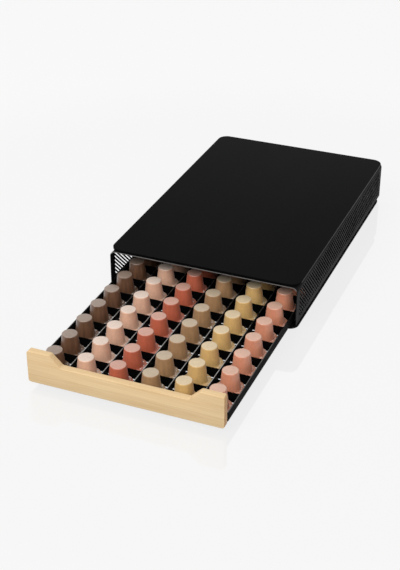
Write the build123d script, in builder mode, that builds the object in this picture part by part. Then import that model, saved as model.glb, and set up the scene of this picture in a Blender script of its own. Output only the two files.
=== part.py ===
from build123d import *
import math
import os

os.makedirs("parts", exist_ok=True)

# Coffee pod drawer, drawn half open. Millimetres.
# X runs across the drawer, Y from its front to its back, Z up.
# The origin is on the table, under the middle of the open object.

# ------------------------------------------------------------------ sizes
# pods: flanged cups that stand upside down on their rims
columns = 6
rows = 10
filled_rows = 8
pod_rim_diameter = 36.6
pod_rim_thickness = 0.9
pod_lid_diameter = 27.0
pod_lid_height = 1.6
pod_base_diameter = 26.8
pod_top_diameter = 20.8
pod_height = 28.0
pod_sides = 8
pod_colours = ["brown", "pink", "red", "olive", "yellow", "salmon"]

# cells: interlocking strips that keep the pods apart
divider_sheet = 1.0
divider_height = 11.0
divider_end_clearance = 0.2
notch_clearance = 0.1
row_clearance = 1.7
column_clearance = 3.2
side_clearance = 1.7
front_margin = 2.0

# drawer tray
tray_sheet = 1.0
tray_wall_height = 13.0
tray_corner_radius = 4.0
floor_slot_width = 3.0
floor_slot_bridge = 5.0
floor_slot_margin = 2.0
floor_slot_edge = 4.5

# bamboo front, with a dip for the fingers in its top edge
front_thickness = 10.0
front_height = 44.8
front_drop = 2.8
front_corner_chamfer = 1.2
front_edge_chamfer = 0.8
dip_depth = 14.7
dip_bottom_width = 170.0
dip_slope_width = 15.0
dip_corner_radius = 3.0
front_screw_spacing = 76.0
front_screw_count = 4
front_screw_radius = 1.6
front_screw_bite = 7.0
front_screw_head_radius = 3.2
front_screw_head_height = 1.2
screw_clearance = 0.1
fastener_sides = 8

# travel of the drawer
drawer_open = 249.0
drawer_full_open = 340.0
closing_gap = 0.5
stop_gap = 0.3
stop_length = 10.7

# slotted shell: a sheet folded over the top and down both sides
shell_sheet = 1.2
shell_height = 61.5
side_gap = 4.8
shell_top_radius = 7.5
shell_bottom_radius = 5.0
shell_flange_width = 14.0
ear_size = 12.0
ear_spacing = 28.0
slot_width = 2.2
slot_pitch = 4.4
slot_angle = 45.0
slot_end_margin = 12.0
slot_bottom_margin = 6.5
slot_top_margin = 0.3

# base plate, feet, back panel and bumpers
foot_height = 3.0
foot_radius = 8.0
foot_inset = 17.0
base_sheet = 2.0
base_corner_radius = 13.0
base_side_overhang = 0.5
base_front_reach = 2.0
base_rear_inset = 2.0
corner_clearance = 0.2
back_sheet = 1.5
back_screw_radius = 1.5
back_screw_head_radius = 2.8
back_screw_head_height = 1.2
back_screw_head_taper = 40.0
back_screw_length = 5.0
bumper_radius = 4.5
bumper_length = 3.0
bumper_spacing = 180.0

# runners, glides, pads and stops
runner_sheet = 1.0
runner_foot_width = 14.0
runner_front_setback = 12.0
runner_rear_setback = 14.0
runner_clearance = 0.4
pad_width = 8.0
pad_length = 20.0
pad_height = 4.0
pad_inset = 5.0
pad_setback = 14.0
pad_gap = 0.3
pad_chamfer = 0.8
glide_height = 7.5
glide_length = 60.0
glide_lift = 2.5
glide_clearance = 0.3
glide_chamfer = 1.5
rivet_radius = 1.5
rivet_depth = 2.5
rivet_head_radius = 2.4
rivet_head_height = 0.8
rivet_spacing = 40.0
case_screw_radius = 1.5
case_screw_head_radius = 2.8
case_screw_head_height = 1.6
case_screw_tip = 1.2
case_screw_inset = 10.0
case_screw_end = 48.0
case_screw_count = 3

# glass top on two strips of tape
glass_thickness = 3.0
glass_side_overhang = 1.0
glass_front_inset = 1.0
glass_rear_overhang = 1.0
glass_corner_radius = 15.0
glass_edge_chamfer = 0.4
tape_thickness = 0.5
tape_width = 20.0
tape_inset = 16.0

# ----------------------------------------------------------------- places
row_pitch = pod_rim_diameter + 2 * row_clearance + divider_sheet
column_pitch = pod_rim_diameter + 2 * column_clearance + divider_sheet
cell_length = row_pitch - divider_sheet

tray_inner_length = front_margin + rows * row_pitch - divider_sheet
tray_inner_width = (columns - 1) * column_pitch + pod_rim_diameter + 2 * side_clearance
tray_length = tray_inner_length + 2 * tray_sheet
tray_width = tray_inner_width + 2 * tray_sheet

shell_inner_width = tray_width + 2 * side_gap
shell_width = shell_inner_width + 2 * shell_sheet
shell_length = front_thickness + tray_length + closing_gap + bumper_length
case_depth = shell_length + back_sheet
runner_corner_radius = shell_bottom_radius - shell_sheet + corner_clearance

case_front = (drawer_open - case_depth - glass_rear_overhang) / 2
case_middle = case_front + case_depth / 2
shell_rear = case_front + shell_length
case_rear = case_front + case_depth

base_top = foot_height + base_sheet
base_width = shell_width + 2 * base_side_overhang
base_front = case_front - base_front_reach
base_length = case_rear - base_rear_inset - base_front
base_middle = base_front + base_length / 2
shell_flange_top = base_top + shell_sheet
runner_foot_top = shell_flange_top + runner_sheet
pad_top = runner_foot_top + pad_height
tray_bottom = pad_top + pad_gap
tray_floor = tray_bottom + tray_sheet
tray_top = tray_bottom + tray_wall_height
shell_top = base_top + shell_height
shell_middle = base_top + shell_height / 2
glass_bottom = shell_top + tape_thickness

front_face = case_front - drawer_open
front_bottom = tray_bottom - front_drop
tray_front = front_face + front_thickness
tray_middle = tray_front + tray_length / 2
tray_rear = tray_front + tray_length
tray_inner_front = tray_front + tray_sheet
first_row = tray_inner_front + front_margin + cell_length / 2
row_places = [first_row + row * row_pitch for row in range(rows)]
column_places = [(column - (columns - 1) / 2) * column_pitch for column in range(columns)]
rows_middle = (row_places[0] + row_places[-1]) / 2
front_screw_height = tray_floor + (tray_wall_height - tray_sheet) / 2

glide_width = side_gap - runner_sheet - glide_clearance
glide_bottom = tray_bottom + glide_lift
glide_middle = tray_rear - glide_length / 2
glide_travel_front = tray_rear - glide_length - (drawer_full_open - drawer_open)
ledge_top = glide_bottom - glide_clearance
lip_bottom = glide_bottom + glide_height + glide_clearance
runner_front = case_front + runner_front_setback
runner_rear = shell_rear - runner_rear_setback
runner_reach = side_gap - runner_clearance
web_x = shell_inner_width / 2 - runner_sheet
lip_x = shell_inner_width / 2 - runner_reach
pad_x = shell_inner_width / 2 - pad_inset - pad_width / 2
stop_rear = glide_travel_front - stop_gap

ear_x = shell_inner_width / 2 - ear_size / 2
case_screw_x = shell_width / 2 - case_screw_inset
case_screw_pitch = (case_depth - 2 * case_screw_end) / (case_screw_count - 1)

# ------------------------------------------------------------------- case
# Slotted shell: an inverted U with inward flanges under it, four ears for the
# back panel's screws, and slanted slots punched through both sides.
slot_spacing = slot_pitch / math.sin(math.radians(slot_angle))
slot_bottom = base_top + shell_bottom_radius + slot_bottom_margin
slot_top = shell_top - shell_top_radius - slot_top_margin
slot_window_height = slot_top - slot_bottom
slot_window_length = case_depth - 2 * slot_end_margin
slot_run = slot_window_height / math.tan(math.radians(slot_angle))
slot_reach = 2 * slot_window_height / math.sin(math.radians(slot_angle))
slot_count = math.ceil((slot_window_length + slot_run) / slot_spacing) + 1

with BuildPart() as slotted_shell:
    with BuildSketch(Plane.back.offset(case_front)):
        with BuildLine():
            FilletPolyline(
                (shell_width / 2 - shell_flange_width, base_top),
                (shell_width / 2, base_top),
                (shell_width / 2, shell_top),
                (-shell_width / 2, shell_top),
                (-shell_width / 2, base_top),
                (-shell_width / 2 + shell_flange_width, base_top),
                radius=[shell_bottom_radius, shell_top_radius, shell_top_radius, shell_bottom_radius],
            )
            offset(amount=shell_sheet, side=Side.LEFT)
        make_face()
    extrude(amount=shell_length)
    with BuildSketch(Plane.back.offset(shell_rear - shell_sheet)):
        with Locations((0, shell_middle)):
            with GridLocations(2 * ear_x, ear_spacing, 2, 2):
                Rectangle(ear_size, ear_size)
                RegularPolygon(
                    back_screw_radius + screw_clearance, fastener_sides, mode=Mode.SUBTRACT
                )
    extrude(amount=shell_sheet)
    with BuildSketch(Plane.YZ.offset(-shell_width / 2)):
        with Locations((case_middle, (slot_bottom + slot_top) / 2)):
            with GridLocations(slot_spacing, 0, slot_count, 1):
                Rectangle(slot_reach, slot_width, rotation=-slot_angle)
            Rectangle(slot_window_length, slot_window_height, mode=Mode.INTERSECT)
    extrude(amount=shell_width, mode=Mode.SUBTRACT)
    with BuildSketch(Plane.XY.offset(base_top)):
        with Locations((0, case_middle)):
            with GridLocations(2 * case_screw_x, case_screw_pitch, 2, case_screw_count):
                RegularPolygon(case_screw_radius + screw_clearance, fastener_sides)
    extrude(amount=shell_sheet, mode=Mode.SUBTRACT)
slotted_shell.part.label = "slotted_shell"
export_step(slotted_shell.part, "parts/slotted_shell.step")

# Base plate: a sheet with round corners under the shell's flanges.
with BuildPart() as base_plate:
    with BuildSketch(Plane.XY.offset(foot_height)):
        with Locations((0, base_middle)):
            RectangleRounded(base_width, base_length, base_corner_radius)
        with Locations((0, case_middle)):
            with GridLocations(2 * case_screw_x, case_screw_pitch, 2, case_screw_count):
                RegularPolygon(
                    case_screw_radius + screw_clearance, fastener_sides, mode=Mode.SUBTRACT
                )
    extrude(amount=base_sheet)
base_plate.part.label = "base_plate"
export_step(base_plate.part, "parts/base_plate.step")

# Back panel: a plate with the shell's outline, screwed to the ears.
with BuildPart() as back_panel:
    with BuildSketch(Plane.back.offset(shell_rear)) as back_outline:
        with Locations((0, shell_middle)):
            Rectangle(shell_width, shell_height)
        fillet(back_outline.vertices().group_by(Axis.Y)[-1], radius=shell_top_radius)
        fillet(back_outline.vertices().group_by(Axis.Y)[0], radius=shell_bottom_radius)
    extrude(amount=back_sheet)
    with BuildSketch(Plane.back.offset(case_rear)):
        with Locations((0, shell_middle)):
            with GridLocations(2 * ear_x, ear_spacing, 2, 2):
                RegularPolygon(back_screw_radius + screw_clearance, fastener_sides)
    extrude(amount=-back_sheet, mode=Mode.SUBTRACT)
    with BuildSketch(Plane.back.offset(case_rear)):
        with Locations((0, shell_middle)):
            with GridLocations(2 * ear_x, ear_spacing, 2, 2):
                RegularPolygon(back_screw_head_radius + screw_clearance, fastener_sides)
    extrude(amount=-back_screw_head_height, taper=back_screw_head_taper, mode=Mode.SUBTRACT)
back_panel.part.label = "back_panel"
export_step(back_panel.part, "parts/back_panel.step")

# Back panel screws: flush countersunk heads.
with BuildPart() as back_panel_screws:
    with BuildSketch(Plane.back.offset(case_rear)):
        with Locations((0, shell_middle)):
            with GridLocations(2 * ear_x, ear_spacing, 2, 2):
                RegularPolygon(back_screw_radius, fastener_sides)
    extrude(amount=-back_screw_length)
    with BuildSketch(Plane.back.offset(case_rear)):
        with Locations((0, shell_middle)):
            with GridLocations(2 * ear_x, ear_spacing, 2, 2):
                RegularPolygon(back_screw_head_radius, fastener_sides)
    extrude(amount=-back_screw_head_height, taper=back_screw_head_taper)
back_panel_screws.part.label = "back_panel_screws"
export_step(back_panel_screws.part, "parts/back_panel_screws.step")

# Closing bumpers: rubber buttons on the back panel that the tray meets.
with BuildPart() as closing_bumpers:
    with BuildSketch(Plane.back.offset(shell_rear)):
        with Locations((0, front_screw_height)):
            with GridLocations(bumper_spacing, 0, 2, 1):
                Circle(bumper_radius)
    extrude(amount=-bumper_length)
closing_bumpers.part.label = "closing_bumpers"
export_step(closing_bumpers.part, "parts/closing_bumpers.step")

# Feet: a rubber button under each corner of the base plate.
with BuildPart() as feet:
    with BuildSketch():
        with Locations((0, base_middle)):
            with GridLocations(base_width - 2 * foot_inset, base_length - 2 * foot_inset, 2, 2):
                Circle(foot_radius)
    extrude(amount=foot_height)
feet.part.label = "feet"
export_step(feet.part, "parts/feet.step")

# Runners: extruded channels along both sides, on the shell's flanges.
with BuildPart() as right_runner:
    with BuildSketch(Plane.back.offset(runner_front)):
        with BuildLine():
            FilletPolyline(
                (-shell_inner_width / 2 + runner_foot_width, shell_flange_top),
                (-shell_inner_width / 2, shell_flange_top),
                (-shell_inner_width / 2, lip_bottom + runner_sheet),
                radius=runner_corner_radius,
            )
            offset(amount=runner_sheet, side=Side.RIGHT)
        make_face()
        for fin_bottom in (ledge_top - runner_sheet, lip_bottom):
            with Locations((-shell_inner_width / 2, fin_bottom)):
                Rectangle(runner_reach, runner_sheet, align=(Align.MIN, Align.MIN))
    extrude(amount=runner_rear - runner_front)
    with BuildSketch(Plane.XY.offset(shell_flange_top)):
        with Locations((case_screw_x, case_middle)):
            with GridLocations(0, case_screw_pitch, 1, case_screw_count):
                RegularPolygon(case_screw_radius + screw_clearance, fastener_sides)
    extrude(amount=runner_sheet, mode=Mode.SUBTRACT)
right_runner.part.label = "right_runner"
export_step(right_runner.part, "parts/right_runner.step")

with BuildPart() as left_runner:
    mirror(right_runner.part, about=Plane.YZ)
left_runner.part.label = "left_runner"
export_step(left_runner.part, "parts/left_runner.step")

# Case screws: from below, through base plate, flange and runner.
with BuildPart() as case_screws:
    with BuildSketch(Plane.XY.offset(foot_height)):
        with Locations((0, case_middle)):
            with GridLocations(2 * case_screw_x, case_screw_pitch, 2, case_screw_count):
                RegularPolygon(case_screw_radius, fastener_sides)
    extrude(amount=runner_foot_top + case_screw_tip - foot_height)
    with BuildSketch(Plane.XY.offset(foot_height)):
        with Locations((0, case_middle)):
            with GridLocations(2 * case_screw_x, case_screw_pitch, 2, case_screw_count):
                RegularPolygon(case_screw_head_radius, fastener_sides)
    extrude(amount=-case_screw_head_height)
case_screws.part.label = "case_screws"
export_step(case_screws.part, "parts/case_screws.step")

# Front pads: low-friction blocks that carry the tray at the case's mouth.
with BuildPart() as right_front_pad:
    with BuildSketch(Plane.XY.offset(runner_foot_top)):
        with Locations((pad_x, case_front + pad_setback + pad_length / 2)):
            Rectangle(pad_width, pad_length)
    extrude(amount=pad_height)
    chamfer(right_front_pad.faces().sort_by(Axis.Z)[-1].edges(), length=pad_chamfer)
right_front_pad.part.label = "right_front_pad"
export_step(right_front_pad.part, "parts/right_front_pad.step")

with BuildPart() as left_front_pad:
    mirror(right_front_pad.part, about=Plane.YZ)
left_front_pad.part.label = "left_front_pad"
export_step(left_front_pad.part, "parts/left_front_pad.step")

# Runner stops: blocks in the channels' front ends that end the glides' travel.
with BuildPart() as right_runner_stop:
    with BuildSketch(Plane.XY.offset(ledge_top)):
        with Locations((web_x, stop_rear)):
            Rectangle(web_x - lip_x, stop_length, align=(Align.MAX, Align.MAX))
    extrude(amount=lip_bottom - ledge_top)
right_runner_stop.part.label = "right_runner_stop"
export_step(right_runner_stop.part, "parts/right_runner_stop.step")

with BuildPart() as left_runner_stop:
    mirror(right_runner_stop.part, about=Plane.YZ)
left_runner_stop.part.label = "left_runner_stop"
export_step(left_runner_stop.part, "parts/left_runner_stop.step")

# Glass top: a plate that a coffee machine stands on.
glass_width = shell_width + 2 * glass_side_overhang
glass_length = case_depth - glass_front_inset + glass_rear_overhang
glass_middle = case_front + glass_front_inset + glass_length / 2
with BuildPart() as glass_top:
    with BuildSketch(Plane.XY.offset(glass_bottom)):
        with Locations((0, glass_middle)):
            RectangleRounded(glass_width, glass_length, glass_corner_radius)
    extrude(amount=glass_thickness)
    chamfer(glass_top.faces().sort_by(Axis.Z)[-1].edges(), length=glass_edge_chamfer)
glass_top.part.label = "glass_top"
export_step(glass_top.part, "parts/glass_top.step")

# Glass tape: a strip along each side, between the shell and the glass.
with BuildPart() as glass_tape:
    with BuildSketch(Plane.XY.offset(shell_top)):
        with Locations((0, case_middle)):
            with GridLocations(glass_width - 2 * tape_inset - tape_width, 0, 2, 1):
                Rectangle(tape_width, glass_length - 2 * tape_inset)
    extrude(amount=tape_thickness)
glass_tape.part.label = "glass_tape"
export_step(glass_tape.part, "parts/glass_tape.step")

# ----------------------------------------------------------------- drawer
# Tray: a folded pan with drain slots along both edges of each row of pods.
floor_slot_length = (tray_inner_width - floor_slot_bridge) / 2 - floor_slot_margin
with BuildPart() as drawer_tray:
    with BuildSketch(Plane.XY.offset(tray_bottom)):
        with Locations((0, tray_middle)):
            RectangleRounded(tray_width, tray_length, tray_corner_radius)
    extrude(amount=tray_wall_height)
    offset(amount=-tray_sheet, openings=drawer_tray.faces().sort_by(Axis.Z)[-1])
    with BuildSketch(Plane.XY.offset(tray_bottom)):
        for slot_side in (-1, 1):
            with Locations((0, rows_middle + slot_side * (cell_length / 2 - floor_slot_edge))):
                with GridLocations(floor_slot_length + floor_slot_bridge, row_pitch, 2, rows):
                    Rectangle(floor_slot_length, floor_slot_width)
    extrude(amount=tray_sheet, mode=Mode.SUBTRACT)
    with BuildSketch(Plane.back.offset(tray_front)):
        with Locations((0, front_screw_height)):
            with GridLocations(front_screw_spacing, 0, front_screw_count, 1):
                RegularPolygon(front_screw_radius + screw_clearance, fastener_sides)
    extrude(amount=tray_sheet, mode=Mode.SUBTRACT)
    with BuildSketch(Plane.YZ.offset(-tray_width / 2)):
        with Locations((glide_middle, glide_bottom + glide_height / 2)):
            with GridLocations(rivet_spacing, 0, 2, 1):
                RegularPolygon(rivet_radius + screw_clearance, fastener_sides)
    extrude(amount=tray_width, mode=Mode.SUBTRACT)
drawer_tray.part.label = "drawer_tray"
export_step(drawer_tray.part, "parts/drawer_tray.step")

# Column dividers: strips along the drawer, notched from above.
notch_width = divider_sheet + 2 * notch_clearance
notch_depth = divider_height / 2 + notch_clearance
divider_top = tray_floor + divider_height
column_divider_places = [place + column_pitch / 2 for place in column_places[:-1]]
for number, place in enumerate(column_divider_places, start=1):
    with BuildPart() as column_divider:
        with BuildSketch(Plane.YZ.offset(place - divider_sheet / 2)):
            with Locations((tray_middle, tray_floor)):
                Rectangle(
                    tray_inner_length - 2 * divider_end_clearance,
                    divider_height,
                    align=(Align.CENTER, Align.MIN),
                )
            with Locations((rows_middle, divider_top - notch_depth / 2)):
                with GridLocations(row_pitch, 0, rows - 1, 1):
                    Rectangle(notch_width, notch_depth, mode=Mode.SUBTRACT)
        extrude(amount=divider_sheet)
    column_divider.part.label = f"column_divider_{number}"
    export_step(column_divider.part, f"parts/column_divider_{number}.step")

# Row dividers: strips across the drawer, notched from below.
row_divider_places = [place + row_pitch / 2 for place in row_places[:-1]]
for number, place in enumerate(row_divider_places, start=1):
    with BuildPart() as row_divider:
        with BuildSketch(Plane.back.offset(place - divider_sheet / 2)):
            with Locations((0, tray_floor)):
                Rectangle(
                    tray_inner_width - 2 * divider_end_clearance,
                    divider_height,
                    align=(Align.CENTER, Align.MIN),
                )
            with Locations((0, tray_floor + notch_depth / 2)):
                with GridLocations(column_pitch, 0, columns - 1, 1):
                    Rectangle(notch_width, notch_depth, mode=Mode.SUBTRACT)
        extrude(amount=divider_sheet)
    row_divider.part.label = f"row_divider_{number}"
    export_step(row_divider.part, f"parts/row_divider_{number}.step")

# Bamboo front: a board with a wide finger dip in its top edge.
front_top = front_bottom + front_height
dip_half_width = dip_bottom_width / 2
with BuildPart() as bamboo_front:
    with BuildSketch(Plane.front.offset(-front_face)) as front_outline:
        with BuildLine():
            Polyline(
                (-tray_width / 2, front_bottom),
                (tray_width / 2, front_bottom),
                (tray_width / 2, front_top),
                (dip_half_width + dip_slope_width, front_top),
                (dip_half_width, front_top - dip_depth),
                (-dip_half_width, front_top - dip_depth),
                (-dip_half_width - dip_slope_width, front_top),
                (-tray_width / 2, front_top),
                close=True,
            )
        make_face()
        corners = front_outline.vertices().group_by(Axis.X)
        chamfer(corners[0] + corners[-1], length=front_corner_chamfer)
        dip_corners = front_outline.vertices().filter_by_position(
            Axis.X, -dip_half_width - dip_slope_width, dip_half_width + dip_slope_width
        )
        fillet(dip_corners, radius=dip_corner_radius)
    extrude(amount=-front_thickness)
    chamfer(bamboo_front.faces().sort_by(Axis.Y)[0].edges(), length=front_edge_chamfer)
    with BuildSketch(Plane.back.offset(tray_front)):
        with Locations((0, front_screw_height)):
            with GridLocations(front_screw_spacing, 0, front_screw_count, 1):
                RegularPolygon(front_screw_radius + screw_clearance, fastener_sides)
    extrude(amount=-front_screw_bite, mode=Mode.SUBTRACT)
bamboo_front.part.label = "bamboo_front"
export_step(bamboo_front.part, "parts/bamboo_front.step")

# Front screws: from inside the tray into the bamboo.
with BuildPart() as front_screws:
    with BuildSketch(Plane.back.offset(tray_inner_front)):
        with Locations((0, front_screw_height)):
            with GridLocations(front_screw_spacing, 0, front_screw_count, 1):
                RegularPolygon(front_screw_radius, fastener_sides)
    extrude(amount=-(tray_sheet + front_screw_bite))
    with BuildSketch(Plane.back.offset(tray_inner_front)):
        with Locations((0, front_screw_height)):
            with GridLocations(front_screw_spacing, 0, front_screw_count, 1):
                RegularPolygon(front_screw_head_radius, fastener_sides)
    extrude(amount=front_screw_head_height)
front_screws.part.label = "front_screws"
export_step(front_screws.part, "parts/front_screws.step")

# Rear glides: blocks on the tray's sides that run inside the channels.
with BuildPart() as right_rear_glide:
    with BuildSketch(Plane.YZ.offset(tray_width / 2)) as glide_outline:
        with Locations((glide_middle, glide_bottom + glide_height / 2)):
            Rectangle(glide_length, glide_height)
        chamfer(glide_outline.vertices(), length=glide_chamfer)
    extrude(amount=glide_width)
    with BuildSketch(Plane.YZ.offset(tray_width / 2)):
        with Locations((glide_middle, glide_bottom + glide_height / 2)):
            with GridLocations(rivet_spacing, 0, 2, 1):
                RegularPolygon(rivet_radius + screw_clearance, fastener_sides)
    extrude(amount=glide_width, mode=Mode.SUBTRACT)
right_rear_glide.part.label = "right_rear_glide"
export_step(right_rear_glide.part, "parts/right_rear_glide.step")

with BuildPart() as left_rear_glide:
    mirror(right_rear_glide.part, about=Plane.YZ)
left_rear_glide.part.label = "left_rear_glide"
export_step(left_rear_glide.part, "parts/left_rear_glide.step")

# Glide rivets: from inside the tray, through its sides into the glides.
with BuildPart() as glide_rivets:
    with BuildSketch(Plane.YZ.offset(tray_inner_width / 2)):
        with Locations((glide_middle, glide_bottom + glide_height / 2)):
            with GridLocations(rivet_spacing, 0, 2, 1):
                RegularPolygon(rivet_radius, fastener_sides)
    extrude(amount=tray_sheet + rivet_depth)
    with BuildSketch(Plane.YZ.offset(tray_inner_width / 2)):
        with Locations((glide_middle, glide_bottom + glide_height / 2)):
            with GridLocations(rivet_spacing, 0, 2, 1):
                RegularPolygon(rivet_head_radius, fastener_sides)
    extrude(amount=-rivet_head_height)
    mirror(about=Plane.YZ)
glide_rivets.part.label = "glide_rivets"
export_step(glide_rivets.part, "parts/glide_rivets.step")

# Pods: one colour to a column, each a tapered cup above its rim and bulged lid.
pod_flat = math.cos(math.pi / pod_sides)
pod_rim_top = tray_floor + pod_lid_height + pod_rim_thickness
pod_taper_height = tray_floor + pod_height - pod_rim_top
pod_taper = math.degrees(
    math.atan(pod_flat * (pod_base_diameter - pod_top_diameter) / 2 / pod_taper_height)
)
pod_lid_taper = math.degrees(
    math.atan(pod_flat * (pod_rim_diameter - pod_lid_diameter) / 2 / pod_lid_height)
)
for colour, place in zip(pod_colours, column_places):
    pod_places = [(place, row_place) for row_place in row_places[:filled_rows]]
    with BuildPart() as pods:
        with BuildSketch(Plane.XY.offset(tray_floor + pod_lid_height)) as pod_rims:
            with Locations(*pod_places):
                RegularPolygon(pod_rim_diameter / 2, pod_sides)
        extrude(amount=-pod_lid_height, taper=pod_lid_taper)
        extrude(pod_rims.sketch, amount=pod_rim_thickness)
        with BuildSketch(Plane.XY.offset(pod_rim_top)):
            with Locations(*pod_places):
                RegularPolygon(pod_base_diameter / 2, pod_sides)
        extrude(amount=pod_taper_height, taper=pod_taper)
    pods.part.label = f"{colour}_pods"
    export_step(pods.part, f"parts/{colour}_pods.step")
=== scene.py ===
import math

import bmesh
import bpy
from mathutils import Matrix, Vector


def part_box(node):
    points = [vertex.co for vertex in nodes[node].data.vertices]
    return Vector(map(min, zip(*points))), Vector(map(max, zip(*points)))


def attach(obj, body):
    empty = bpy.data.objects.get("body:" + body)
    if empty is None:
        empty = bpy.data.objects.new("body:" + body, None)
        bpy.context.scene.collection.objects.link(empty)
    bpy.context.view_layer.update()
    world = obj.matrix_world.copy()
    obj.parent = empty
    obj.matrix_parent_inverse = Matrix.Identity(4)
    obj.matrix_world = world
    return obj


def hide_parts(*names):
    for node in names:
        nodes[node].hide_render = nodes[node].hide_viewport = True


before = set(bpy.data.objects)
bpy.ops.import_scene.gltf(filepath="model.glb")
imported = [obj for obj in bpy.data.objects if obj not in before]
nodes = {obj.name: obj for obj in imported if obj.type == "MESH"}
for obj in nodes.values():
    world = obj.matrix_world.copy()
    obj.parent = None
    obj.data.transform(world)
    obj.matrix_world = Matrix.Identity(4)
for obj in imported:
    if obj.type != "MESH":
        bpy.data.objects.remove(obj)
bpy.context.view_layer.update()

MM = 0.001
WELD = 1e-6  # points nearer to each other than this are one point

# ------------------------------------------------------------------ places
shell_low, shell_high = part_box("slotted_shell")
board_low, board_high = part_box("bamboo_front")
tray_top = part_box("drawer_tray")[1].z
strip_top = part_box("column_divider_1")[1].z
case_mouth = shell_low.y


# ------------------------------------------------------------------ colours
def paint(red, green, blue):
    """A screen colour, 0 to 255, as the linear colour that shaders take."""
    channels = []
    for value in (red, green, blue):
        value /= 255
        if value <= 0.04045:
            channels.append(value / 12.92)
        else:
            channels.append(((value + 0.055) / 1.055) ** 2.4)
    return (*channels, 1.0)


def toned(colour, factor):
    """A colour made darker or lighter by a factor."""
    return tuple(min(1.0, factor * value) for value in colour[:3]) + (1.0,)


# ------------------------------------------------------- shader node helpers
MASK = (0.0, 1.0)  # nothing to everything
NOISE_BAND = (0.3, 0.7)  # where nearly all values of a noise texture lie


def add(tree, kind, **settings):
    """A node of a kind in a tree, with its plain settings."""
    node = tree.nodes.new(kind)
    for name, value in settings.items():
        setattr(node, name, value)
    return node


def join(tree, start, end):
    """A link from an output socket to an input socket."""
    tree.links.new(start, end)


def feed(tree, value, socket):
    """Sets a socket to a number or colour, or links another socket to it."""
    if isinstance(value, (int, float, tuple)):
        socket.default_value = value
    else:
        join(tree, value, socket)


def new_group(name, inputs, outputs):
    """An empty shader node group. Its inputs are (name, type, default)."""
    group = bpy.data.node_groups.new(name, "ShaderNodeTree")
    for label, kind, default in inputs:
        socket = group.interface.new_socket(label, in_out="INPUT", socket_type=kind)
        socket.default_value = default
    for label, kind in outputs:
        group.interface.new_socket(label, in_out="OUTPUT", socket_type=kind)
    entry = group.nodes.new("NodeGroupInput")
    leave = group.nodes.new("NodeGroupOutput")
    return group, entry, leave


def place_group(tree, group, **values):
    """A node group placed in a material with its own values."""
    node = add(tree, "ShaderNodeGroup", node_tree=group)
    for name, value in values.items():
        node.inputs[name.replace("_", " ")].default_value = value
    return node


def object_space(tree):
    """The Object coordinates socket of a tree."""
    return add(tree, "ShaderNodeTexCoord").outputs["Object"]


def axes(tree, vector):
    """The X, Y and Z sockets of a vector."""
    split = add(tree, "ShaderNodeSeparateXYZ")
    join(tree, vector, split.inputs["Vector"])
    return split.outputs


def facing(tree):
    """The X, Y and Z sockets of the direction that a surface faces."""
    return axes(tree, add(tree, "ShaderNodeNewGeometry").outputs["Normal"])


def stretched(tree, vector, scale):
    """Coordinates scaled along X, Y and Z."""
    mapping = add(tree, "ShaderNodeMapping")
    mapping.inputs["Scale"].default_value = scale
    join(tree, vector, mapping.inputs["Vector"])
    return mapping.outputs["Vector"]


def noise(tree, vector, scale, detail=2.0):
    """A noise texture's factor."""
    texture = add(tree, "ShaderNodeTexNoise")
    feed(tree, scale, texture.inputs["Scale"])
    texture.inputs["Detail"].default_value = detail
    join(tree, vector, texture.inputs["Vector"])
    return texture.outputs["Fac"]


def ranged(tree, value, source, target, smooth=False):
    """A value moved from one range to another and kept inside it."""
    node = add(tree, "ShaderNodeMapRange")
    if smooth:
        node.interpolation_type = "SMOOTHSTEP"
    join(tree, value, node.inputs["Value"])
    for name, bound in zip(("From Min", "From Max", "To Min", "To Max"), source + target):
        feed(tree, bound, node.inputs[name])
    return node.outputs["Result"]


def spread(tree, value, target):
    """A noise value's usual band moved to a range."""
    return ranged(tree, value, NOISE_BAND, target)


def calc(tree, operation, first, second=0.0):
    """A Math node on sockets or numbers."""
    node = add(tree, "ShaderNodeMath", operation=operation)
    feed(tree, first, node.inputs[0])
    feed(tree, second, node.inputs[1])
    return node.outputs["Value"]


def product(tree, first, *others):
    """Sockets or numbers multiplied."""
    for other in others:
        first = calc(tree, "MULTIPLY", first, other)
    return first


def blend_colour(tree, factor, first, second, mode="MIX"):
    """Two colours or colour sockets mixed by a factor."""
    node = add(tree, "ShaderNodeMix", data_type="RGBA", blend_type=mode)
    for name, value in (("Factor", factor), ("A", first), ("B", second)):
        feed(tree, value, [s for s in node.inputs if s.name == name and s.enabled][0])
    return [s for s in node.outputs if s.enabled][0]


def new_material(name):
    """A material with a bare Principled shader: (material, tree, shader)."""
    material = bpy.data.materials.new(name)
    material.use_nodes = True
    tree = material.node_tree
    tree.nodes.clear()
    shader = add(tree, "ShaderNodeBsdfPrincipled")
    output = add(tree, "ShaderNodeOutputMaterial")
    join(tree, shader.outputs["BSDF"], output.inputs["Surface"])
    return material, tree, shader


def bump(tree, shader, height, depth):
    """A height socket as relief on a shader's surface."""
    node = add(tree, "ShaderNodeBump")
    node.inputs["Strength"].default_value = 1.0
    node.inputs["Distance"].default_value = depth
    join(tree, height, node.inputs["Height"])
    join(tree, node.outputs["Normal"], shader.inputs["Normal"])


# --------------------------------------------------------- shared effects
def make_coat_group():
    """Fine grain of a powder coat or a moulded skin: roughness and height."""
    group, entry, leave = new_group(
        "coat grain",
        [
            ("Grain Scale", "NodeSocketFloat", 1800.0),
            ("Smoothest", "NodeSocketFloat", 0.38),
            ("Roughest", "NodeSocketFloat", 0.5),
        ],
        [("Roughness", "NodeSocketFloat"), ("Height", "NodeSocketFloat")],
    )
    place = object_space(group)
    grain = noise(group, place, entry.outputs["Grain Scale"], detail=3.0)
    clouds = noise(group, place, scale=40.0)
    limits = (entry.outputs["Smoothest"], entry.outputs["Roughest"])
    join(group, spread(group, clouds, limits), leave.inputs["Roughness"])
    join(group, grain, leave.inputs["Height"])
    return group


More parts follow.
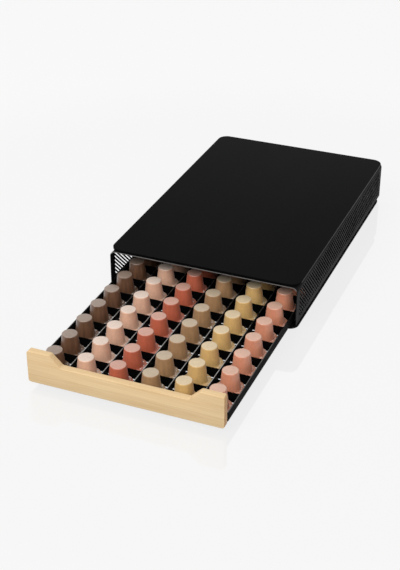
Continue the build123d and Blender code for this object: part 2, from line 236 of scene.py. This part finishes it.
def make_edge_highlight_group():
    """A painted highlight along a sheet's edge: a mask on what lies past a height, broken
    up by noise.
    """
    group, entry, leave = new_group(
        "painted edge highlight",
        [
            ("Height", "NodeSocketFloat", 0.0),
            ("Edge", "NodeSocketFloat", 0.0),
            ("Depth", "NodeSocketFloat", 0.1),
        ],
        [("Mask", "NodeSocketFloat")],
    )
    highlight_break_band, highlight_break_strength = (0.25, 0.6), (0.65, 1.0)
    edge = entry.outputs["Edge"]
    inner = calc(group, "SUBTRACT", edge, entry.outputs["Depth"])
    mask = ranged(group, entry.outputs["Height"], (inner, edge), MASK)
    specks = noise(group, object_space(group), scale=160.0)
    highlight_breaks = ranged(group, specks, highlight_break_band, highlight_break_strength)
    join(group, product(group, mask, highlight_breaks), leave.inputs["Mask"])
    return group


def make_bamboo_group():
    """Side-pressed bamboo: strips along X, each with its own tone, and fibres."""
    group, entry, leave = new_group(
        "bamboo grain",
        [
            ("Light", "NodeSocketColor", paint(249, 223, 178)),
            ("Dark", "NodeSocketColor", paint(217, 181, 131)),
            ("End", "NodeSocketColor", paint(224, 169, 110)),
            ("Strip Width", "NodeSocketFloat", 0.006),
        ],
        [
            ("Color", "NodeSocketColor"),
            ("Roughness", "NodeSocketFloat"),
            ("Height", "NodeSocketFloat"),
        ],
    )
    fibre_stretch, flow_stretch = (6.0, 260.0, 420.0), (3.0, 30.0, 45.0)
    fibre_share, flow_share, strip_share = 0.45, 0.4, 0.22
    end_band, end_strength = (0.6, 0.9), (0.0, 0.8)
    gloss_band, gloss_limits = (0.2, 0.8), (0.42, 0.58)

    place = object_space(group)
    strip = calc(group, "DIVIDE", axes(group, place)["Z"], entry.outputs["Strip Width"])
    tone = add(group, "ShaderNodeTexWhiteNoise", noise_dimensions="1D")
    join(group, calc(group, "FLOOR", strip), tone.inputs["W"])
    fibre = noise(group, stretched(group, place, fibre_stretch), scale=2.2, detail=4.0)
    flow = noise(group, stretched(group, place, flow_stretch), scale=2.0)
    shade = product(group, spread(group, fibre, MASK), fibre_share)
    shade = calc(group, "ADD", shade, product(group, flow, flow_share))
    shade = calc(group, "ADD", shade, product(group, tone.outputs["Value"], strip_share))
    colour = blend_colour(group, shade, entry.outputs["Light"], entry.outputs["Dark"])
    endwise = calc(group, "ABSOLUTE", facing(group)["X"])
    endwise = ranged(group, endwise, end_band, end_strength)
    colour = blend_colour(group, endwise, colour, entry.outputs["End"])
    join(group, colour, leave.inputs["Color"])
    roughness = ranged(group, fibre, gloss_band, gloss_limits)
    join(group, roughness, leave.inputs["Roughness"])
    join(group, fibre, leave.inputs["Height"])
    return group


def make_foil_group():
    """A pod's lacquered foil: embossed on its top and painted paler there as sheen,
    with painted highlight streaks down its side, and creased on its rim, with small
    painted glints there."""
    group, entry, leave = new_group(
        "lacquered foil",
        [
            ("Side", "NodeSocketColor", paint(200, 150, 120)),
            ("Top", "NodeSocketColor", paint(230, 200, 180)),
            ("Smoothest", "NodeSocketFloat", 0.34),
            ("Roughest", "NodeSocketFloat", 0.44),
            ("Streaks", "NodeSocketFloat", 0.06),
        ],
        [
            ("Color", "NodeSocketColor"),
            ("Roughness", "NodeSocketFloat"),
            ("Height", "NodeSocketFloat"),
        ],
    )
    level_band = (0.3, 0.95)  # how far a surface faces up before it counts as top
    top_heights, painted_sheen_strength = (28.0 * MM, 36.0 * MM), (0.25, 1.0)
    rim_heights = (15.2 * MM, 15.8 * MM)  # over which the rim gives way to the side
    cloud_tones, fleck_tones = (0.95, 1.03), (0.95, 1.05)
    painted_streak_stretch, painted_streak_band, painted_streak_tones = (230.0, 230.0, 5.0), (0.38, 0.66), (-0.25, 1.0)
    emboss_scale, crease_relief = 620.0, 3.0
    painted_glint_band, painted_glint_strength = (0.57, 0.64), (0.0, 0.85)

    place = object_space(group)
    height = axes(group, place)["Z"]
    # painted sheen: faces that look up take the paler Top colour, fully on the top and
    # more weakly lower down, on the rim; the same mask holds the top's embossing
    top_with_painted_sheen = ranged(group, facing(group)["Z"], level_band, MASK, smooth=True)
    top_with_painted_sheen = product(group, top_with_painted_sheen, ranged(group, height, top_heights, painted_sheen_strength))
    clouds = spread(group, noise(group, place, scale=90.0), cloud_tones)
    flecks = spread(group, noise(group, place, scale=420.0, detail=1.0), fleck_tones)
    # painted highlight streaks: paler lines down the side, standing in for reflections on
    # the lacquer
    lines = noise(group, stretched(group, place, painted_streak_stretch), scale=1.0)
    lines = ranged(group, lines, painted_streak_band, painted_streak_tones)
    sideways = calc(group, "SUBTRACT", 1.0, top_with_painted_sheen)
    lines = product(group, lines, entry.outputs["Streaks"], sideways)
    shade = calc(group, "ADD", product(group, clouds, flecks), lines)
    tint = add(group, "ShaderNodeCombineColor")
    for channel in ("Red", "Green", "Blue"):
        join(group, shade, tint.inputs[channel])
    # painted sheen: the paler Top colour where the surface looks up
    colour = blend_colour(group, top_with_painted_sheen, entry.outputs["Side"], entry.outputs["Top"])
    colour = blend_colour(group, 1.0, colour, tint.outputs["Color"], mode="MULTIPLY")

    dots = add(group, "ShaderNodeTexVoronoi")
    dots.inputs["Scale"].default_value = emboss_scale
    join(group, place, dots.inputs["Vector"])
    emboss = product(group, dots.outputs["Distance"], top_with_painted_sheen)
    rim = ranged(group, height, rim_heights, (1.0, 0.0))
    creases = noise(group, place, scale=380.0, detail=3.0)
    folds = product(group, creases, product(group, rim, crease_relief))
    # painted glints: near-white colour where the rim's creases would catch the light
    painted_glint = product(group, ranged(group, creases, painted_glint_band, painted_glint_strength), rim)
    colour = blend_colour(group, painted_glint, colour, paint(244, 238, 232))
    join(group, colour, leave.inputs["Color"])
    limits = (entry.outputs["Smoothest"], entry.outputs["Roughest"])
    gloss = spread(group, noise(group, place, scale=60.0), limits)
    join(group, gloss, leave.inputs["Roughness"])
    join(group, calc(group, "ADD", emboss, folds), leave.inputs["Height"])
    return group


coat_group = make_coat_group()
edge_highlight_group = make_edge_highlight_group()
bamboo_group = make_bamboo_group()
foil_group = make_foil_group()


# -------------------------------------------------------------- materials
def coated_steel(
    name, colour, specular, edge=None, edge_highlight_colour=None, bare=1.0, above=None
):
    """Powder-coated steel. edge is the (axis, sign, height) of an edge painted paler as a
    highlight, bare says how far that edge is metal, and so also reflects for real, and
    above is the level where it starts."""
    darkening, edge_depth, bare_roughness = 0.8, 0.05 * MM, 0.16
    material, tree, shader = new_material(name)
    coat = place_group(
        tree, coat_group, Grain_Scale=2200.0, Smoothest=0.4, Roughest=0.52
    )
    join(tree, coat.outputs["Roughness"], shader.inputs["Roughness"])
    bump(tree, shader, coat.outputs["Height"], depth=0.04 * MM)
    shader.inputs["Specular IOR Level"].default_value = specular
    shade = spread(tree, noise(tree, object_space(tree), scale=25.0), MASK)
    colour = blend_colour(tree, shade, colour, toned(colour, darkening))
    if edge is None:
        join(tree, colour, shader.inputs["Base Color"])
        return material
    axis, sign, height = edge
    sides = axes(tree, object_space(tree))
    along = product(tree, sides[axis], sign)
    # painted highlight: the edge band is painted paler; where bare is above 0 it is also
    # metal and reflects for real
    edge_highlight = place_group(tree, edge_highlight_group, Edge=sign * height, Depth=edge_depth)
    join(tree, along, edge_highlight.inputs["Height"])
    mask = edge_highlight.outputs["Mask"]
    if above is not None:
        upper = ranged(tree, sides["Z"], (above, above + MM), MASK)
        mask = product(tree, mask, upper)
    mixed = blend_colour(tree, mask, colour, edge_highlight_colour)
    join(tree, mixed, shader.inputs["Base Color"])
    metal = product(tree, mask, bare)
    join(tree, metal, shader.inputs["Metallic"])
    polish = ranged(tree, metal, MASK, (coat.outputs["Roughness"], bare_roughness))
    join(tree, polish, shader.inputs["Roughness"])
    return material


def moulded(name, colour, grain, smoothest, roughest, specular=0.4):
    """Rubber, nylon or foam with its own grain."""
    material, tree, shader = new_material(name)
    coat = place_group(
        tree, coat_group, Grain_Scale=grain, Smoothest=smoothest, Roughest=roughest
    )
    join(tree, coat.outputs["Roughness"], shader.inputs["Roughness"])
    bump(tree, shader, coat.outputs["Height"], depth=0.05 * MM)
    shade = spread(tree, noise(tree, object_space(tree), scale=120.0), MASK)
    colour = blend_colour(tree, shade, colour, toned(colour, 1.3))
    join(tree, colour, shader.inputs["Base Color"])
    shader.inputs["Specular IOR Level"].default_value = specular
    return material


def black_glass():
    """The top's back-painted glass: near black, barely mirroring."""
    material, tree, shader = new_material("black glass")
    wiped = stretched(tree, object_space(tree), (9.0, 3.0, 9.0))
    smears = noise(tree, wiped, scale=1.0, detail=3.0)
    join(tree, spread(tree, smears, (0.16, 0.24)), shader.inputs["Roughness"])
    depth = ranged(tree, smears, (0.25, 0.75), MASK)
    colour = blend_colour(tree, depth, paint(7, 7, 8), paint(11, 11, 12))
    join(tree, colour, shader.inputs["Base Color"])
    shader.inputs["Specular IOR Level"].default_value = 0.012
    return material


def bamboo():
    """Clear-lacquered bamboo."""
    material, tree, shader = new_material("lacquered bamboo")
    grain = place_group(tree, bamboo_group)
    join(tree, grain.outputs["Color"], shader.inputs["Base Color"])
    join(tree, grain.outputs["Roughness"], shader.inputs["Roughness"])
    bump(tree, shader, grain.outputs["Height"], depth=0.03 * MM)
    shader.inputs["Specular IOR Level"].default_value = 0.3
    return material


def foil(name, side, top, gloss, sheen, painted_streaks):
    """One pod colour. top is its top's colour, painted paler as sheen. gloss is the weight
    of a clear coat, sheen that of its bloom, and the streak value how strongly pale
    highlight streaks are painted down its sides."""
    material, tree, shader = new_material(name)
    skin = place_group(tree, foil_group, Side=side, Top=top, Streaks=painted_streaks)
    join(tree, skin.outputs["Color"], shader.inputs["Base Color"])
    join(tree, skin.outputs["Roughness"], shader.inputs["Roughness"])
    bump(tree, shader, skin.outputs["Height"], depth=0.08 * MM)
    shader.inputs["Specular IOR Level"].default_value = 0.8
    shader.inputs["Sheen Weight"].default_value = sheen
    shader.inputs["Sheen Roughness"].default_value = 0.45
    shader.inputs["Coat Weight"].default_value = gloss
    shader.inputs["Coat Roughness"].default_value = 0.07
    return material


def drawn_metal(name, colour, roughness, stretch):
    """Metal with fine lines along the axis that stretch has its least value on,
    or with fine grain where its values are equal."""
    material, tree, shader = new_material(name)
    place = stretched(tree, object_space(tree), stretch)
    lines = noise(tree, place, scale=1.0, detail=3.0)
    join(tree, spread(tree, lines, roughness), shader.inputs["Roughness"])
    colour = blend_colour(tree, lines, colour, toned(colour, 1.15))
    join(tree, colour, shader.inputs["Base Color"])
    bump(tree, shader, lines, depth=0.02 * MM)
    shader.inputs["Metallic"].default_value = 1.0
    return material


case_black = paint(22, 22, 23)
tray_black = paint(19, 19, 20)
strip_black = paint(12, 12, 13)
# painted highlight: from 5 mm under the case top upward, the mouth's front edge of the
# case coat is painted paler; it is not metal
mouth_highlight_start = shell_high.z - 5.0 * MM  # under it the mouth's edge stays dark
case_coat = coated_steel(
    "case powder coat", case_black, specular=0.02,
    edge=("Y", -1.0, case_mouth), edge_highlight_colour=paint(122, 120, 118),
    bare=0.0, above=mouth_highlight_start,
)
plain_coat = coated_steel("powder coat", case_black, specular=0.02)
# painted highlight: the tray's top edge is painted paler, as bare metal that also reflects
# for real
tray_coat = coated_steel(
    "tray powder coat", tray_black, specular=0.005,
    edge=("Z", 1.0, tray_top), edge_highlight_colour=paint(104, 102, 100),
)
# painted highlight: only the long strips get a pale metal top edge, which also reflects
# for real; the cross strips, of the same sheet, have none and stay dark
strip_coat = coated_steel(
    "long strip powder coat", strip_black, specular=0.02,
    edge=("Z", 1.0, strip_top), edge_highlight_colour=paint(170, 168, 165),
)
cross_coat = coated_steel("cross strip powder coat", strip_black, specular=0.02)
rubber = moulded(
    "foot rubber", paint(28, 28, 28),
    grain=1400.0, smoothest=0.7, roughest=0.85, specular=0.25,
)
foam = moulded(
    "tape foam", paint(18, 18, 18),
    grain=900.0, smoothest=0.85, roughest=0.95, specular=0.1,
)
nylon = moulded(
    "glide nylon", paint(40, 40, 41), grain=1600.0, smoothest=0.4, roughest=0.5
)
glass = black_glass()
board_wood = bamboo()
runner_metal = drawn_metal(
    "anodised runner", paint(62, 62, 64),
    roughness=(0.32, 0.45), stretch=(400.0, 4.0, 400.0),
)
screw_finish = {"roughness": (0.3, 0.42), "stretch": (260.0, 260.0, 260.0)}
screw_metal = drawn_metal("screw steel", paint(120, 120, 122), **screw_finish)
dark_screw_metal = drawn_metal(
    "blackened screw steel", paint(66, 66, 68), **screw_finish
)

# Each pod colour: side, top (painted paler, as sheen), gloss, sheen, streaks (painted
# highlight streaks).
pod_finishes = {
    "brown": (paint(95, 65, 45), paint(143, 123, 109), 0.28, 0.04, 0.42),
    "pink": (paint(224, 178, 150), paint(224, 202, 186), 0.0, 0.2, 0.06),
    "red": (paint(188, 96, 69), paint(202, 154, 136), 0.0, 0.14, 0.08),
    "olive": (paint(163, 126, 88), paint(187, 167, 141), 0.0, 0.18, 0.14),
    "yellow": (paint(213, 174, 110), paint(215, 193, 156), 0.0, 0.2, 0.06),
    "salmon": (paint(213, 140, 109), paint(214, 171, 149), 0.0, 0.18, 0.06),
}


def dress(material, *names):
    """Gives a material to the CAD's own pieces."""
    for name in names:
        mesh = nodes[name].data
        mesh.materials.clear()
        mesh.materials.append(material)


dress(case_coat, "slotted_shell")
dress(plain_coat, "base_plate", "back_panel")
dress(tray_coat, "drawer_tray")
dress(strip_coat, *[f"column_divider_{number}" for number in range(1, 6)])
dress(cross_coat, *[f"row_divider_{number}" for number in range(1, 10)])
dress(glass, "glass_top")
dress(foam, "glass_tape")
dress(rubber, "feet", "closing_bumpers")
dress(runner_metal, "left_runner", "right_runner")
dress(
    nylon,
    "left_runner_stop", "right_runner_stop",
    "left_front_pad", "right_front_pad",
    "left_rear_glide", "right_rear_glide",
)
dress(screw_metal, "front_screws", "glide_rivets")


# ----------------------------------------------------------- mesh helpers
def as_mesh(maker, name):
    """What a bmesh holds, as a mesh. The bmesh is used up."""
    mesh = bpy.data.meshes.new(name)
    maker.to_mesh(mesh)
    maker.free()
    return mesh


def put_in_scene(name, data):
    """A new object in the scene, with its data."""
    item = bpy.data.objects.new(name, data)
    bpy.context.scene.collection.objects.link(item)
    return item


def finish_piece(name, maker, material, body, slot, *replaced, smooth_angle=35.0):
    """A bmesh as an object with its material and body, hiding the CAD nodes it replaces.
    slot is not used.
    """
    bmesh.ops.remove_doubles(maker, verts=maker.verts, dist=WELD)
    bmesh.ops.recalc_face_normals(maker, faces=maker.faces)
    mesh = as_mesh(maker, name)
    mesh.shade_smooth()
    mesh.set_sharp_from_angle(angle=math.radians(smooth_angle))
    mesh.materials.append(material)
    piece = put_in_scene(name, mesh)
    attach(piece, body)
    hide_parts(*replaced)


def turned(maker, profile, steps):
    """A closed solid of revolution about Z from (radius, height) points in mm."""
    points = [maker.verts.new((radius * MM, 0, height * MM)) for radius, height in profile]
    edges = [maker.edges.new(pair) for pair in zip(points, points[1:])]
    bmesh.ops.spin(
        maker,
        geom=points + edges,
        cent=(0, 0, 0),
        axis=(0, 0, 1),
        angle=math.tau,
        steps=steps,
        use_merge=True,
    )
    bmesh.ops.remove_doubles(maker, verts=maker.verts, dist=WELD)


def raised(maker, face, shift):
    """A face extruded by a shift."""
    made = bmesh.ops.extrude_face_region(maker, geom=[face])
    moved = [item for item in made["geom"] if isinstance(item, bmesh.types.BMVert)]
    bmesh.ops.translate(maker, verts=moved, vec=shift)


def rounded(maker, edges, radius, segments):
    """Edges rounded to a radius."""
    bmesh.ops.bevel(
        maker,
        geom=edges,
        offset=radius,
        segments=segments,
        profile=0.5,
        affect="EDGES",
        material=-1,
    )


def place_copy(maker, pattern, turn, place):
    """A pattern mesh added to a bmesh, turned by a matrix and then moved."""
    before = set(maker.verts)
    maker.from_mesh(pattern)
    fresh = [vert for vert in maker.verts if vert not in before]
    bmesh.ops.rotate(maker, verts=fresh, cent=(0, 0, 0), matrix=turn)
    bmesh.ops.translate(maker, verts=fresh, vec=place)


# ------------------------------------------------------------------- pods
# Turned cups on a curled rim, one mesh to a colour.
POD_STEPS = 40
POD_TURN = 37.0  # degrees from one pod to the next, so that no two look alike
pod_profile = [
    (0.0, 0.0),
    (11.5, 0.0),
    (14.5, 0.6),
    (16.8, 1.5),
    (17.6, 1.55),
    (18.1, 1.7),
    (18.3, 2.05),
    (18.1, 2.4),
    (17.6, 2.5),
    (14.6, 2.5),
    (13.8, 2.7),
    (13.3, 3.3),
    (13.05, 4.6),
    (12.3, 11.0),
    (11.3, 19.5),
    (10.62, 25.8),
    (10.5, 27.1),
    (10.27, 27.9),
    (9.9, 28.3),
    (9.4, 28.4),
    (0.0, 28.4),
]


def middle_y(node):
    """Where the middle of a CAD node lies along Y."""
    low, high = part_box(node)
    return (low.y + high.y) / 2


def set_pods(colour, finish, pattern, first_line, row_pitch):
    """One colour's pods, in the rows that the CAD's node fills."""
    node = f"{colour}_pods"
    low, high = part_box(node)
    filled = round((high.y - low.y - (high.x - low.x)) / row_pitch) + 1
    maker = bmesh.new()
    for row in range(filled):
        turn = Matrix.Rotation(math.radians(POD_TURN * row), 3, "Z")
        row_y = first_line + (row - 0.5) * row_pitch
        place_copy(maker, pattern, turn, Vector(((low.x + high.x) / 2, row_y, low.z)))
    skin = foil(f"{colour} foil", *finish)
    finish_piece(f"{colour}_turned_pods", maker, skin, "drawer", f"pod_{colour}", node)


maker = bmesh.new()
turned(maker, pod_profile, POD_STEPS)
pod_pattern = as_mesh(maker, "pod pattern")
first_line = middle_y("row_divider_1")
row_pitch = middle_y("row_divider_2") - first_line
for colour, finish in pod_finishes.items():
    set_pods(colour, finish, pod_pattern, first_line, row_pitch)
bpy.data.meshes.remove(pod_pattern)


# ------------------------------------------------------------------ board
def run_y(edge):
    """How far an edge runs along Y."""
    start, end = (vert.co for vert in edge.verts)
    return abs(start.y - end.y)


def board():
    """The drawer's bamboo front: an outline with a finger dip, extruded and
    rounded."""
    dip_half, slope, dip_depth = 85.0 * MM, 15.0 * MM, 14.7 * MM
    end_radius, dip_radius, rim_radius = 3.2 * MM, 1.6 * MM, 0.7 * MM
    left, right = board_low.x, board_high.x
    bottom, top = board_low.z, board_high.z
    dip_floor = top - dip_depth
    dip_end = dip_half + slope
    outline = [
        (left, bottom),
        (right, bottom),
        (right, top),
        (dip_end, top),
        (dip_half, dip_floor),
        (-dip_half, dip_floor),
        (-dip_end, top),
        (left, top),
    ]
    maker = bmesh.new()
    front = maker.faces.new([maker.verts.new((x, board_low.y, z)) for x, z in outline])
    raised(maker, front, (0, board_high.y - board_low.y, 0))
    through = [edge for edge in maker.edges if run_y(edge) > MM]
    dip = [edge for edge in through if abs(edge.verts[0].co.x) < dip_end + MM]
    ends = [edge for edge in through if edge not in dip]
    rounded(maker, ends, end_radius, segments=6)
    rounded(maker, [edge for edge in dip if edge.is_valid], dip_radius, segments=4)
    rims = [edge for edge in maker.edges if run_y(edge) < WELD]
    rounded(maker, rims, rim_radius, segments=3)
    finish_piece(
        "bamboo_board", maker, board_wood, "drawer", "bamboo", "bamboo_front",
        smooth_angle=50.0,
    )


board()

# ----------------------------------------------------------------- screws
# Turned heads with a hexagon socket, in place of the CAD's plain ones.
SCREW_STEPS = 24
SHANK_RADIUS = 1.5 * MM
HEAD_RADIUS = 2.8 * MM
SUNK_HEIGHT, PAN_HEIGHT = 1.2 * MM, 1.6 * MM
SUNK_ROUNDING, PAN_ROUNDING = 0.1 * MM, 0.45 * MM
SOCKET_INSET, SOCKET_REACH, SOCKET_DEPTH = 0.4, 0.5, 0.6  # shares of the head
LEVEL = 0.99  # the least Z of a level face's normal


def widest_face(maker, sign):
    """The widest face that looks straight up (1) or down (-1)."""
    maker.normal_update()
    level = [face for face in maker.faces if face.normal.z * sign > LEVEL]
    return max(level, key=lambda face: face.calc_area())


def pushed(maker, face, rise):
    """A face moved along Z, with walls in its wake and nothing left behind."""
    raised(maker, face, (0, 0, rise))
    if face.is_valid:
        bmesh.ops.delete(maker, geom=[face], context="FACES_ONLY")


def socket_screw(length, sunk):
    """A screw with its head's face on Z 0, looking up, as a mesh to copy."""
    head_height = SUNK_HEIGHT if sunk else PAN_HEIGHT
    maker = bmesh.new()
    bmesh.ops.create_cone(
        maker,
        cap_ends=True,
        segments=SCREW_STEPS,
        radius1=SHANK_RADIUS if sunk else HEAD_RADIUS,
        radius2=HEAD_RADIUS,
        depth=head_height,
        matrix=Matrix.Translation((0, 0, -head_height / 2)),
    )
    rim = list(widest_face(maker, 1).edges)
    rounded(maker, rim, SUNK_ROUNDING if sunk else PAN_ROUNDING, segments=3)
    socket = widest_face(maker, 1)
    bmesh.ops.inset_individual(
        maker, faces=[socket], thickness=SOCKET_INSET * HEAD_RADIUS
    )
    half_side = math.radians(30)
    for vert in socket.verts:
        turn = math.atan2(vert.co.y, vert.co.x) % (2 * half_side) - half_side
        reach = SOCKET_REACH * HEAD_RADIUS * math.cos(half_side) / math.cos(turn)
        vert.co.xy = vert.co.xy.normalized() * reach
    pushed(maker, socket, -SOCKET_DEPTH * head_height)
    under = widest_face(maker, -1)
    if not sunk:
        step = HEAD_RADIUS - SHANK_RADIUS
        bmesh.ops.inset_individual(maker, faces=[under], thickness=step)
    pushed(maker, under, head_height - length)
    return as_mesh(maker, "screw pattern")


def set_screws(name, node, pattern, places, turn):
    """Copies of a screw at places, turned by a matrix, for a CAD node."""
    maker = bmesh.new()
    for place in places:
        place_copy(maker, pattern, turn, place)
    bpy.data.meshes.remove(pattern)
    finish_piece(name, maker, dark_screw_metal, "case", "screw_steel", node)


low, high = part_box("back_panel_screws")
set_screws(
    "back_panel_socket_screws", "back_panel_screws",
    socket_screw(high.y - low.y, sunk=True),
    [
        (x, high.y, z)
        for x in (low.x + HEAD_RADIUS, high.x - HEAD_RADIUS)
        for z in (low.z + HEAD_RADIUS, high.z - HEAD_RADIUS)
    ],
    Matrix.Rotation(math.radians(-90), 3, "X"),
)
low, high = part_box("case_screws")
set_screws(
    "case_socket_screws", "case_screws",
    socket_screw(high.z - low.z, sunk=False),
    [
        (x, y, low.z)
        for x in (low.x + HEAD_RADIUS, high.x - HEAD_RADIUS)
        for y in (low.y + HEAD_RADIUS, (low.y + high.y) / 2, high.y - HEAD_RADIUS)
    ],
    Matrix.Rotation(math.radians(180), 3, "X"),
)

# ------------------------------------------------------------------ floor
FLOOR_SIZE = 14.0
backdrop_tone = paint(246, 246, 246)
bounce_tone = paint(130, 130, 130)


def seen_rays(tree):
    """1 for rays that show a surface or its mirror image, 0 for light's own."""
    path = add(tree, "ShaderNodeLightPath").outputs
    seen = calc(tree, "MAXIMUM", path["Is Camera Ray"], path["Is Glossy Ray"])
    return calc(tree, "MAXIMUM", seen, path["Is Transmission Ray"])


def mix_shaders(tree, share, first, second):
    """Two shaders mixed by a share of the second."""
    mix = add(tree, "ShaderNodeMixShader")
    join(tree, share, mix.inputs["Fac"])
    join(tree, first, mix.inputs[1])
    join(tree, second, mix.inputs[2])
    return mix.outputs["Shader"]


def floor_material():
    """A pale polished floor: its own tone, a light shadow and, near the object,
    a faint mirror."""
    glow_share, glow_strength = 0.93, 1.03
    mirror_reach, mirror_share = (0.55, 0.85), (0.09, 0.0)
    material, tree, shader = new_material("pale floor")
    shader.inputs["Roughness"].default_value = 0.9
    shader.inputs["Specular IOR Level"].default_value = 0.0
    output = [node for node in tree.nodes if node.type == "OUTPUT_MATERIAL"][0]
    seen = seen_rays(tree)
    tone = blend_colour(tree, seen, bounce_tone, backdrop_tone)
    join(tree, tone, shader.inputs["Base Color"])
    glow = add(tree, "ShaderNodeEmission")
    glow.inputs["Color"].default_value = backdrop_tone
    glow.inputs["Strength"].default_value = glow_strength
    mirror = add(tree, "ShaderNodeBsdfGlossy")
    mirror.inputs["Roughness"].default_value = 0.02
    reach = add(tree, "ShaderNodeVectorMath", operation="LENGTH")
    join(tree, object_space(tree), reach.inputs[0])
    polish = ranged(
        tree, reach.outputs["Value"], mirror_reach, mirror_share, smooth=True
    )
    lit = mix_shaders(
        tree, product(tree, seen, glow_share),
        shader.outputs["BSDF"], glow.outputs["Emission"],
    )
    polished = mix_shaders(tree, polish, lit, mirror.outputs["BSDF"])
    join(tree, polished, output.inputs["Surface"])
    return material


maker = bmesh.new()
bmesh.ops.create_grid(maker, x_segments=1, y_segments=1, size=FLOOR_SIZE / 2)
floor_mesh = as_mesh(maker, "floor")
floor_mesh.materials.append(floor_material())
floor = put_in_scene("floor", floor_mesh)

# ------------------------------------------------------------------ light
SKY_LIGHT, SKY_SEEN = 0.22, 0.9

world = bpy.data.worlds.new("studio")
bpy.context.scene.world = world
world.use_nodes = True
tree = world.node_tree
tree.nodes.clear()
sky = add(tree, "ShaderNodeBackground")
sky.inputs["Color"].default_value = (1.0, 1.0, 1.0, 1.0)
strength = ranged(tree, seen_rays(tree), MASK, (SKY_LIGHT, SKY_SEEN))
join(tree, strength, sky.inputs["Strength"])
output = add(tree, "ShaderNodeOutputWorld")
join(tree, sky.outputs["Background"], output.inputs["Surface"])


def softbox(name, place, size, power, target=(0, 0, 0.03)):
    """A square area light aimed at a point."""
    lamp = bpy.data.lights.new(name, "AREA")
    lamp.shape = "SQUARE"
    lamp.size = size
    lamp.energy = power
    holder = put_in_scene(name, lamp)
    holder.location = place
    aim = Vector(target) - Vector(place)
    holder.rotation_euler = aim.to_track_quat("-Z", "Y").to_euler()
    holder.visible_camera = False


softbox("left_key", (-2.59, -5.55, 5.14), size=4.0, power=343.0)
softbox("right_key", (3.51, -5.02, 5.14), size=4.0, power=252.0)
softbox("left_rim", (-6.16, 2.24, 4.59), size=4.0, power=108.0)
softbox("top", (0.4, 0.8, 6.4), size=4.8, power=41.0)

# ----------------------------------------------------------------- camera
view_direction = Vector((-0.3273, 0.7992, -0.5042))
camera = put_in_scene("camera", bpy.data.cameras.new("camera"))
camera.data.sensor_fit = "HORIZONTAL"
camera.data.sensor_width = 36.0
camera.data.lens = 109.35
camera.data.clip_end = 60.0
camera.location = (0.54046, case_mouth - 1.32404, 0.87688)
camera.rotation_euler = view_direction.to_track_quat("-Z", "Y").to_euler()
bpy.context.scene.camera = camera

bpy.context.scene.view_settings.view_transform = "Standard"
